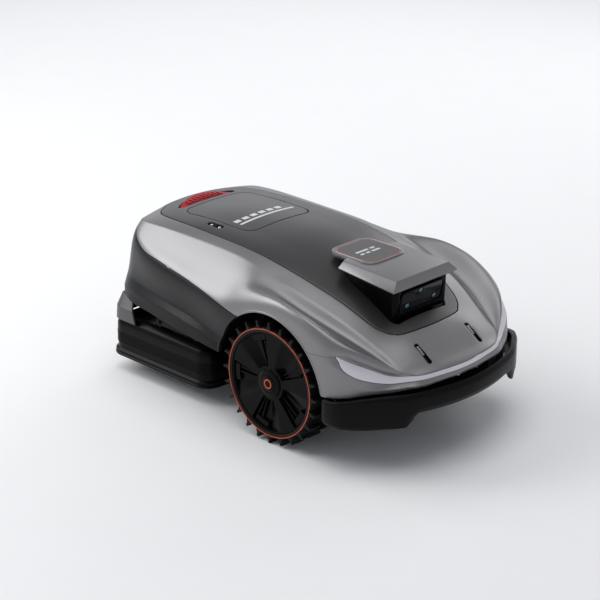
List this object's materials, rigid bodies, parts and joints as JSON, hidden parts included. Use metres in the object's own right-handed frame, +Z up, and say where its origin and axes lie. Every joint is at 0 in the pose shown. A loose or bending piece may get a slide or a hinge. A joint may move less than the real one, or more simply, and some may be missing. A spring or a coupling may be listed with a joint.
{
  "type": "robotic lawn mower",
  "caption": "Robotic lawn mower with big lugged drive wheels, a swivelling rear wheel, a camera hood, a sprung bumper and a floating rear cutting deck with pivoting blades.",
  "frame": {"origin": "on the ground, below the middle of the machine", "axes": "+X to the front, +Y to the left side, +Z up"},
  "size_m": [0.828, 0.518, 0.3519],
  "materials": {
    "shell_silver": "metallic grey paint with a fine sparkle",
    "panel_grey": "dark warm grey satin",
    "side_dark": "charcoal moulded grain",
    "trim_light": "light grey satin",
    "black_plastic": "black satin moulding",
    "red_plastic": "red satin",
    "orange_plastic": "orange satin",
    "tyre_rubber": "black rubber",
    "window_glass": "dark polished pane",
    "lens_glass": "coated lens",
    "steel": "brushed",
    "zinc": "cast, satin",
    "board_green": "circuit board",
    "battery_case": "moulded case",
    "display": "glossy screen"
  },
  "bodies": {
    "chassis": {"main_shell": "shell_silver", "top_panel": "panel_grey", "side_panel_right": "side_dark", "side_panel_left": "side_dark", "front_trim_strip": "trim_light", "vision_housing": "black_plastic", "vision_visor": "shell_silver", "vision_badge": "panel_grey", "camera_window": "window_glass", "camera_lenses": "lens_glass", "charging_contacts": "steel", "rain_sensor": "black_plastic", "control_panel": "black_plastic", "display_screen": "display", "arch_liner_right": "black_plastic", "arch_liner_left": "black_plastic", "chassis_tub": "black_plastic", "chassis_frame": "black_plastic", "arm_brackets": "zinc", "battery_pack": "battery_case", "main_board": "board_green", "drive_motors": "zinc", "lift_motor": "zinc", "tub_screws": "steel"},
    "bumper": {"front_bumper": "black_plastic"},
    "hatch": {"display_hatch": "panel_grey", "hatch_hinge_pins": "steel"},
    "stop": {"stop_button": "red_plastic"},
    "key_start": {"key_start": "orange_plastic"},
    "key_home": {"key_home": "side_dark"},
    "key_ok": {"key_ok": "side_dark"},
    "rear_swivel": {"rear_fork": "black_plastic"},
    "rear_wheel": {"rear_tyre": "tyre_rubber", "rear_rim": "black_plastic"},
    "lift_arms": {"lift_arm_frame": "black_plastic"},
    "lower_arms": {"lower_arms": "black_plastic"},
    "deck": {"deck_housing": "black_plastic", "deck_skirt": "black_plastic", "deck_cover": "black_plastic", "corner_guards": "shell_silver", "deck_ears": "black_plastic", "blade_motors": "black_plastic"},
    "wheel_right": {"tyre_right": "tyre_rubber", "rim_right": "black_plastic", "rim_ring_right": "orange_plastic", "hub_cap_right": "black_plastic", "axle_right": "steel"},
    "wheel_left": {"tyre_left": "tyre_rubber", "rim_left": "black_plastic", "rim_ring_left": "orange_plastic", "hub_cap_left": "black_plastic", "axle_left": "steel"},
    "disc_right": {"blade_disc_right": "zinc"},
    "blade_right_1": {"blade_right_1": "steel"},
    "blade_right_2": {"blade_right_2": "steel"},
    "blade_right_3": {"blade_right_3": "steel"},
    "disc_left": {"blade_disc_left": "zinc"},
    "blade_left_1": {"blade_left_1": "steel"},
    "blade_left_2": {"blade_left_2": "steel"},
    "blade_left_3": {"blade_left_3": "steel"}
  },
  "joints": [
    {"name": "bumper_press", "type": "slide", "parent": "chassis", "child": "bumper", "axis": [-1, 0, 0], "range_m": [0, 0.008], "stiffness_N_per_m": 1500, "springref_m": -0.006},
    {"name": "hatch_hinge", "type": "hinge", "parent": "chassis", "child": "hatch", "pos_m": [-0.1099, 0, 0.3493], "axis": [0, 1, 0], "range_deg": [0, 70]},
    {"name": "stop_press", "type": "slide", "parent": "chassis", "child": "stop", "axis": [0, 0, -1], "range_m": [0, 0.004], "stiffness_N_per_m": 900, "springref_m": -0.004},
    {"name": "key_start_press", "type": "slide", "parent": "chassis", "child": "key_start", "axis": [0, 0, -1], "range_m": [0, 0.0012], "stiffness_N_per_m": 300, "springref_m": -0.001},
    {"name": "key_home_press", "type": "slide", "parent": "chassis", "child": "key_home", "axis": [0, 0, -1], "range_m": [0, 0.0012], "stiffness_N_per_m": 300, "springref_m": -0.001},
    {"name": "key_ok_press", "type": "slide", "parent": "chassis", "child": "key_ok", "axis": [0, 0, -1], "range_m": [0, 0.0012], "stiffness_N_per_m": 300, "springref_m": -0.001},
    {"name": "wheel_right_spin", "type": "hinge", "parent": "chassis", "child": "wheel_right", "pos_m": [0.096, -0.2, 0.128], "axis": [0, 1, 0], "continuous": true},
    {"name": "wheel_left_spin", "type": "hinge", "parent": "chassis", "child": "wheel_left", "pos_m": [0.096, 0.2, 0.128], "axis": [0, 1, 0], "continuous": true},
    {"name": "rear_swivel_turn", "type": "hinge", "parent": "chassis", "child": "rear_swivel", "pos_m": [-0.345, 0, 0.15], "axis": [0, 0, 1], "continuous": true},
    {"name": "rear_wheel_spin", "type": "hinge", "parent": "rear_swivel", "child": "rear_wheel", "pos_m": [-0.363, 0, 0.035], "axis": [0, 1, 0], "continuous": true},
    {"name": "deck_lift", "type": "hinge", "parent": "chassis", "child": "lower_arms", "pos_m": [-0.165, 0, 0.134], "axis": [0, 1, 0], "range_deg": [-12.5, 0]},
    {"name": "deck_level", "type": "hinge", "parent": "lower_arms", "child": "deck", "pos_m": [-0.275, 0, 0.134], "axis": [0, 1, 0], "range_deg": [0, 12.7]},
    {"name": "lift_arm_turn", "type": "hinge", "parent": "chassis", "child": "lift_arms", "pos_m": [-0.165, 0, 0.162], "axis": [0, 1, 0], "range_deg": [-12.7, 0]},
    {"name": "disc_right_spin", "type": "hinge", "parent": "deck", "child": "disc_right", "pos_m": [-0.205, -0.088, 0.054], "axis": [0, 0, 1], "continuous": true},
    {"name": "blade_right_1_pivot", "type": "hinge", "parent": "disc_right", "child": "blade_right_1", "pos_m": [-0.18, -0.0447, 0.0495], "axis": [0, 0, 1], "continuous": true},
    {"name": "blade_right_2_pivot", "type": "hinge", "parent": "disc_right", "child": "blade_right_2", "pos_m": [-0.255, -0.088, 0.0495], "axis": [0, 0, 1], "continuous": true},
    {"name": "blade_right_3_pivot", "type": "hinge", "parent": "disc_right", "child": "blade_right_3", "pos_m": [-0.18, -0.1313, 0.0495], "axis": [0, 0, 1], "continuous": true},
    {"name": "disc_left_spin", "type": "hinge", "parent": "deck", "child": "disc_left", "pos_m": [-0.205, 0.088, 0.054], "axis": [0, 0, 1], "continuous": true},
    {"name": "blade_left_1_pivot", "type": "hinge", "parent": "disc_left", "child": "blade_left_1", "pos_m": [-0.18, 0.1313, 0.0495], "axis": [0, 0, 1], "continuous": true},
    {"name": "blade_left_2_pivot", "type": "hinge", "parent": "disc_left", "child": "blade_left_2", "pos_m": [-0.255, 0.088, 0.0495], "axis": [0, 0, 1], "continuous": true},
    {"name": "blade_left_3_pivot", "type": "hinge", "parent": "disc_left", "child": "blade_left_3", "pos_m": [-0.18, 0.0447, 0.0495], "axis": [0, 0, 1], "continuous": true}
  ],
  "couplings": [
    {"joint": "deck_level", "follows": "deck_lift", "ratio": -1},
    {"joint": "lift_arm_turn", "follows": "deck_lift", "ratio": 1}
  ]
}
